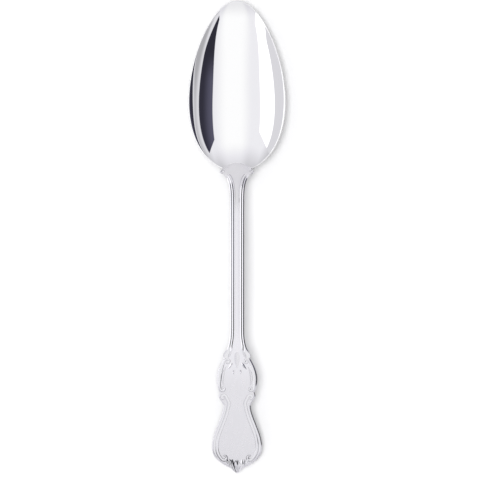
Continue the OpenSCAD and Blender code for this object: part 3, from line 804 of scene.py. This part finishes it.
# The lower part is edged by a plain band, and inside it by a long S shaped bead that curls out
# over the knobs and in again above the tip. Both are struck up from the face, and their ground is
# painted with shade that deepens towards the tip, most on the left.
border_width, border_height = 1.1 * MM, 0.1 * MM
border_end, border_taper = 0.4, 0.12
border_flank, bead_flank, rounded = 0.45 * border_width, 0.45 * bead_width, 2
border_top_y, border_foot_y = notch_y - 4.6 * MM, widest_y - 4.9 * MM
border_steps = 72
swept_height, swept_rise, hook_rise = 0.1 * MM, 0.07 * MM, 0.19 * MM
swept_from, swept_over, hook_from = 0.5, 0.3, 0.6
swept_top_y, swept_foot_y = notch_y - 1.9 * MM, widest_y - 5.73 * MM
swept_inset = edge_margin + border_width + bead_width / 2 + thread_gap
waist_inset, waist_start, waist_length = 1.05 * MM, waist_y - 0.6 * MM, 3.7 * MM
foot_radius = 1.1 * curl_radius
swept_top_curl = (radians(-300), curl_radius, 0.35 * curl_radius)
swept_foot_curl = (radians(-260), foot_radius, 0.5 * foot_radius)
painted_shade_from, painted_shade_ramp = {"left": 0.8, "right": 1.0}, 14
border_painted_shade, swept_painted_shade = (0.5, 0.8), (0.55, 1.0)


def darkening(count, start, shares):
    """How much painted shade the ground gets along a line, from one share to another beyond a
    starting step.
    """
    return [mix(*shares, ease((k - start) / painted_shade_ramp)) for k in range(count)]


for side, hand in sides.items():
    border_path = [(hand * (plate_half(y) - border_width / 2 - edge_margin), y)
                   for y in stations(border_top_y, border_foot_y, border_steps)]
    dark_step = painted_shade_from[side] * border_steps
    border_mesh = bmesh.new()
    bead(border_mesh, border_path,
         tapered(border_steps + 1, border_width, border_end, border_taper),
         tapered(border_steps + 1, border_height, border_end, border_taper), border_flank, rounded,
         painted_shade=darkening(border_steps + 1, dark_step, border_painted_shade))
    finish_relief(border_mesh, f"{side}_edge_band", f"{side}_border_band")

    run = [(plate_half(y) - swept_inset - waist_inset * ease((y - waist_start) / waist_length), y)
           for y in stations(swept_top_y, swept_foot_y, border_steps)]
    swept_points = len(run) + 2 * curl_steps
    swept_heights = []
    for k in range(swept_points):
        down_run = ((k - curl_steps) / border_steps - swept_from) / swept_over
        into_hook = (k - border_steps) / curl_steps - hook_from
        swept_heights.append(swept_height + swept_rise * ease(down_run)
                             + hook_rise * ease(into_hook))
    swept_mesh = scroll(hand, run, swept_top_curl, swept_foot_curl, [bead_width] * len(run),
                        swept_heights, bead_flank, rounded,
                        painted_shade=darkening(swept_points, curl_steps + dark_step, swept_painted_shade))
    finish_relief(swept_mesh, f"{side}_s_scroll", f"{side}_lower_scroll")

# A spray hangs from the stem over the upper part: a pointed tongue, a leaf leaning out to each
# side and a small drop under each leaf, all struck up from the face.
spray_height = 0.25 * MM
spray_foot_y = joint_y - 4.2 * MM
tongue_width, side_leaf_width, small_drop_width = 2.4 * MM, 0.96 * MM, 0.72 * MM
tongue_leaf = [(0, 7.2), (0, 5.8), (0, 2.6), (0, 0)]
side_leaf = [(2.244, 2.5), (2.448, 1.5), (3.06, 0.8), (4.08, -0.4)]
small_drop = [(1.4688, -0.6), (1.5912, -1.2), (1.5912, -1.8), (1.3872, -2.6)]
leaf_steps = 32
leaf_point, leaf_belly, leaf_fullness = 0.18, 0.8, 0.7


def knots_at(y, knots, hand=1):
    """Knots given in mm from a place on the axis, mirrored to the left for a hand of -1."""
    return [(hand * across * MM, y + along * MM) for across, along in knots]


def curve_point(p, u):
    return tuple((1 - u) ** 3 * a + 3 * u * (1 - u) ** 2 * b + 3 * u * u * (1 - u) * c + u**3 * d
                 for a, b, c, d in zip(*p))


def leaf(mesh, knots, width, height, power=crisp, lean=0.0, painted_shade=0.0):
    """A raised leaf on a smooth course led by four knots, swelling between its pointed ends."""
    shares = stations(0, 1, leaf_steps)
    swell = [max(leaf_point, sin(pi * u**leaf_belly) ** leaf_fullness) for u in shares]
    bead(mesh, [curve_point(knots, u) for u in shares], [width * share for share in swell],
         [height * share for share in swell], width, power, lean, [painted_shade] * len(swell))


spray_mesh = bmesh.new()
leaf(spray_mesh, knots_at(spray_foot_y, tongue_leaf), tongue_width, spray_height)
for hand in sides.values():
    leaf(spray_mesh, knots_at(spray_foot_y, side_leaf, hand), side_leaf_width, spray_height)
    leaf(spray_mesh, knots_at(spray_foot_y, small_drop, hand), small_drop_width, spray_height)
finish_relief(spray_mesh, "hanging_spray", "leaf_spray")

# The tip carries a shell: a low boss with two petals, between two long bowed leaves and under three
# flutes. Two more leaves curl beside it on each side. All are chased deep into the silver, and
# their ground and corners are painted with deep shade, most on the left.
# Deep painted shade: corners that a longer ambient occlusion finds go fully to the near-black tone.
silver_with_deep_painted_shade = silver(
    "silver_with_deep_painted_shade", *raised_tones, fine_lines, raised_lines,
    {**raised_ground, "Corner Reach": 0.8 * MM, "Corner Start": 0.93, "Corner Full": 0.62,
     "Corner Amount": 1.0})
boss_leaf, boss_width, boss_height = [(0, 2), (0, 0.8), (0, -0.5), (0, -1.7)], 2.8 * MM, 0.12 * MM
left_petal = [(-0.6, 3.2), (-0.6, 1.8), (-0.2, 0.3), (0.2, -1.2)]
left_petal_width, left_petal_height, left_petal_lean = 2.1 * MM, 0.34 * MM, -0.4
right_petal = [(1.0, 2.6), (1.2, 1.5), (1.0, 0.2), (0.5, -1.2)]
right_petal_width, right_petal_height = 1.2 * MM, 0.25 * MM
boss_painted_shade, left_petal_painted_shade, right_petal_painted_shade = 1.0, 0.65, 0.5
bowed_leaf = [(2.1, 4.0), (2.0, 2.6), (1.9, -0.2), (0.3, -1.9)]
bowed_width, bowed_height, bowed_lean = 1.2 * MM, 0.36 * MM, -0.3
bowed_painted_shade = {"left": 1.0, "right": 0.5}
flutes = [
    [(-0.35, 2.2), (-0.45, 2.7), (-0.55, 3.2), (-0.7, 3.7)],
    [(0, 2.2), (0, 2.7), (0, 3.2), (0, 4)],
    [(0.35, 2.2), (0.45, 2.7), (0.55, 3.2), (0.7, 3.7)],
]
flute_width, flute_height, flute_painted_shade = 0.45 * MM, 0.266 * MM, 0.6
tip_leaves = [
    [(3.4, 4.0), (2.9, 3.4), (2.5, 2.4), (3.6, 0.8)],
    [(5.1, 4.4), (4.5, 3.9), (4.0, 2.8), (3.9, 1.8)],
]
tip_leaf_width, tip_leaf_height = 1 * MM, 0.38 * MM
tip_leaf_painted_shade = {"left": 1.0, "right": 0.6}

shell_mesh = bmesh.new()
leaf(shell_mesh, knots_at(bud_y, boss_leaf), boss_width, boss_height, rounded, painted_shade=boss_painted_shade)
leaf(shell_mesh, knots_at(bud_y, left_petal), left_petal_width, left_petal_height,
     lean=left_petal_lean, painted_shade=left_petal_painted_shade)
leaf(shell_mesh, knots_at(bud_y, right_petal), right_petal_width, right_petal_height, rounded,
     painted_shade=right_petal_painted_shade)
for side, hand in sides.items():
    leaf(shell_mesh, knots_at(bud_y, bowed_leaf, hand), bowed_width, bowed_height,
         lean=bowed_lean * hand, painted_shade=bowed_painted_shade[side])
for knots in flutes:
    leaf(shell_mesh, knots_at(bud_y, knots), flute_width, flute_height, painted_shade=flute_painted_shade)
finish_relief(shell_mesh, "fluted_shell", "tip_shell", silver_with_deep_painted_shade)

for side, hand in sides.items():
    leaves_mesh = bmesh.new()
    for knots in tip_leaves:
        leaf(leaves_mesh, knots_at(bud_y, knots, hand), tip_leaf_width, tip_leaf_height,
             painted_shade=tip_leaf_painted_shade[side])
    finish_relief(leaves_mesh, f"{side}_curled_leaves", f"{side}_tip_leaves", silver_with_deep_painted_shade)

# The spoon lies on a plain white table that shows no edge. It is one sided, so that the back of the
# spoon can be looked at from below.
floor_half = 1.5
floor_mesh = bmesh.new()
bmesh.ops.create_grid(floor_mesh, x_segments=1, y_segments=1, size=floor_half)
floor_data = bpy.data.meshes.new("table")
floor_mesh.to_mesh(floor_data)
floor_mesh.free()
floor = bpy.data.objects.new("table", floor_data)
bpy.context.scene.collection.objects.link(floor)
paper = bpy.data.materials.new("white_paper")
paper.use_nodes = True
tree = paper.node_tree
shader = tree.nodes["Principled BSDF"]
shader.inputs["Base Color"].default_value = (0.6, 0.6, 0.6, 1)
shader.inputs["Roughness"].default_value = 1.0
shader.inputs["Specular IOR Level"].default_value = 0.0
clear = add_node(tree, "ShaderNodeBsdfTransparent")
behind = add_node(tree, "ShaderNodeNewGeometry").outputs["Backfacing"]
cut = add_node(tree, "ShaderNodeMixShader", {0: behind, 1: shader.outputs[0], 2: clear.outputs[0]})
tree.links.new(cut.outputs[0], tree.nodes["Material Output"].inputs["Surface"])
floor_data.materials.append(paper)

# The studio is a light tent. The sheet overhead is bright, a white panel on the left and a dark gap
# on the right show as strips in the bowl, and the tent greys towards the table.
white_panel, under_white = 1.35, 0.7
gap_dark, gap_far, gap_near = 0.03, 0.035, 0.1
gap_along, gap_aside = (-0.25, 0.0), (radians(65), radians(45))
under_gap_from, under_gap_low, under_gap_high = radians(8), 0.42, 0.74
right_fade, right_shade = (radians(15), radians(46)), 0.84
left_fade, left_shade = (radians(-4), radians(-28)), 0.86
tip_fade, tip_shade = (0.68, 1.0), 0.35
handle_fade, handle_shade = (-0.66, -0.8), 0.25
table_fade, table_grey = (radians(2), radians(40)), 0.5
soft_edge, soft_bearing = radians(0.7), 0.01
left_edge, left_low, left_bearings = radians(-41), radians(20), (0.74, 0.95)
left_fall_fade, left_fall = (-0.28, -0.47), radians(18)
right_edge, right_low, right_bearings = radians(43), radians(19), (0.78, 1.14)
right_lift_fade, right_lift = (-0.2, -0.58), radians(14)
white_cloth, grey_cloth, white_from = (1.0, 1.0, 1.007, 1), (1.0, 0.992, 1.042, 1), (0.8, 1.0)
dark_cloth, grey_from = (0.93, 0.9, 1.35, 1), (0.15, 0.3)

world = bpy.data.worlds.new("light_tent")
bpy.context.scene.world = world
world.use_nodes = True
tent = world.node_tree
tent.nodes.clear()


def calc(operation, *values):
    return add_node(tent, "ShaderNodeMath", dict(enumerate(values)), operation=operation).outputs[0]


def step_up(value, start, stop, low=0.0, high=1.0):
    """A number that eases from low to high as the value goes from start to stop."""
    return add_node(tent, "ShaderNodeMapRange",
                    {"Value": value, "From Min": start, "From Max": stop, "To Min": low,
                     "To Max": high}, interpolation_type="SMOOTHSTEP").outputs[0]


def choose(share, first, second):
    return add_node(tent, "ShaderNodeMix", {0: share, 2: first, 3: second},
                    data_type="FLOAT").outputs[0]


towards = add_node(tent, "ShaderNodeTexCoord").outputs["Generated"]
dx, dy, dz = add_node(tent, "ShaderNodeSeparateXYZ", {0: towards}).outputs
lateral = calc("ARCTAN2", dx, dz)
height = calc("ARCSINE", dz)
aside = calc("ABSOLUTE", dx)


def above(base):
    """1 above an angle of height, 0 below it."""
    return step_up(height, calc("SUBTRACT", base, soft_edge), calc("ADD", base, soft_edge))


def panel(start, stop, bearings):
    """1 inside a panel, which starts at an angle to the side and ends at a bearing each way."""
    near, far = [calc("MULTIPLY", aside, bearing) for bearing in bearings]
    near_end = step_up(calc("ADD", near, dy), -soft_bearing, soft_bearing)
    far_end = step_up(calc("SUBTRACT", far, dy), -soft_bearing, soft_bearing)
    return calc("MULTIPLY", step_up(lateral, start, stop), calc("MULTIPLY", near_end, far_end))


sheet = calc("MULTIPLY", step_up(lateral, *right_fade, 1.0, right_shade),
             step_up(lateral, *left_fade, 1.0, left_shade))
sheet_ends = calc("ADD", step_up(dy, *tip_fade, 0.0, tip_shade),
                  step_up(dy, *handle_fade, 0.0, handle_shade))
tent_light = calc("MINIMUM", calc("SUBTRACT", sheet, sheet_ends),
                  step_up(height, *table_fade, table_grey, 1.0))
left_base = calc("SUBTRACT", left_low, step_up(dy, *left_fall_fade, 0.0, left_fall))
left_light = choose(above(left_base), under_white, white_panel)
right_base = calc("ADD", right_low, step_up(dy, *right_lift_fade, 0.0, right_lift))
gap_light = choose(step_up(dy, *gap_along), gap_dark,
                   step_up(lateral, *gap_aside, gap_far, gap_near))
under_gap = step_up(height, under_gap_from, right_low, under_gap_low, under_gap_high)
right_light = choose(above(right_base), under_gap, gap_light)
in_left = panel(left_edge + soft_edge, left_edge - soft_edge, left_bearings)
in_right = panel(right_edge - soft_edge, right_edge + soft_edge, right_bearings)
light = choose(in_left, choose(in_right, tent_light, right_light), left_light)
cloth = add_node(tent, "ShaderNodeMix",
                 {0: step_up(light, *white_from), 6: grey_cloth, 7: white_cloth},
                 data_type="RGBA").outputs[2]
tint = add_node(tent, "ShaderNodeMix", {0: step_up(light, *grey_from), 6: dark_cloth, 7: cloth},
                data_type="RGBA").outputs[2]
glow = add_node(tent, "ShaderNodeBackground", {"Color": tint, "Strength": light})
plain = add_node(tent, "ShaderNodeBackground", {"Color": (1, 1, 1, 1), "Strength": 1.0})
seen = add_node(tent, "ShaderNodeLightPath").outputs["Is Camera Ray"]
shown = add_node(tent, "ShaderNodeMixShader", {0: seen, 1: glow.outputs[0], 2: plain.outputs[0]})
add_node(tent, "ShaderNodeOutputWorld", {"Surface": shown.outputs[0]})

# A broad soft lamp almost overhead lights the table and lays the shadow a little to the right. The
# silver mirrors the tent alone.
lamp_data = bpy.data.lights.new("soft_lamp", "SUN")
lamp_data.angle = radians(24)
lamp_data.energy = 3.0
lamp = bpy.data.objects.new("soft_lamp", lamp_data)
lamp.rotation_euler = (0, radians(-5.5), 0)
lamp.visible_glossy = False
bpy.context.scene.collection.objects.link(lamp)

# The camera hangs straight above the spoon, far off, with a long lens that keeps the bowl and the
# handle to one scale.
camera_height = 2.0
view_width = 0.2089
camera_data = bpy.data.cameras.new("camera")
camera_data.sensor_width = 36
camera_data.lens = camera_data.sensor_width * camera_height / view_width
camera = bpy.data.objects.new("camera", camera_data)
camera.location = (1.3 * MM, -1.2 * MM, camera_height)
bpy.context.scene.collection.objects.link(camera)
bpy.context.scene.camera = camera
bpy.context.scene.view_settings.view_transform = "Standard"
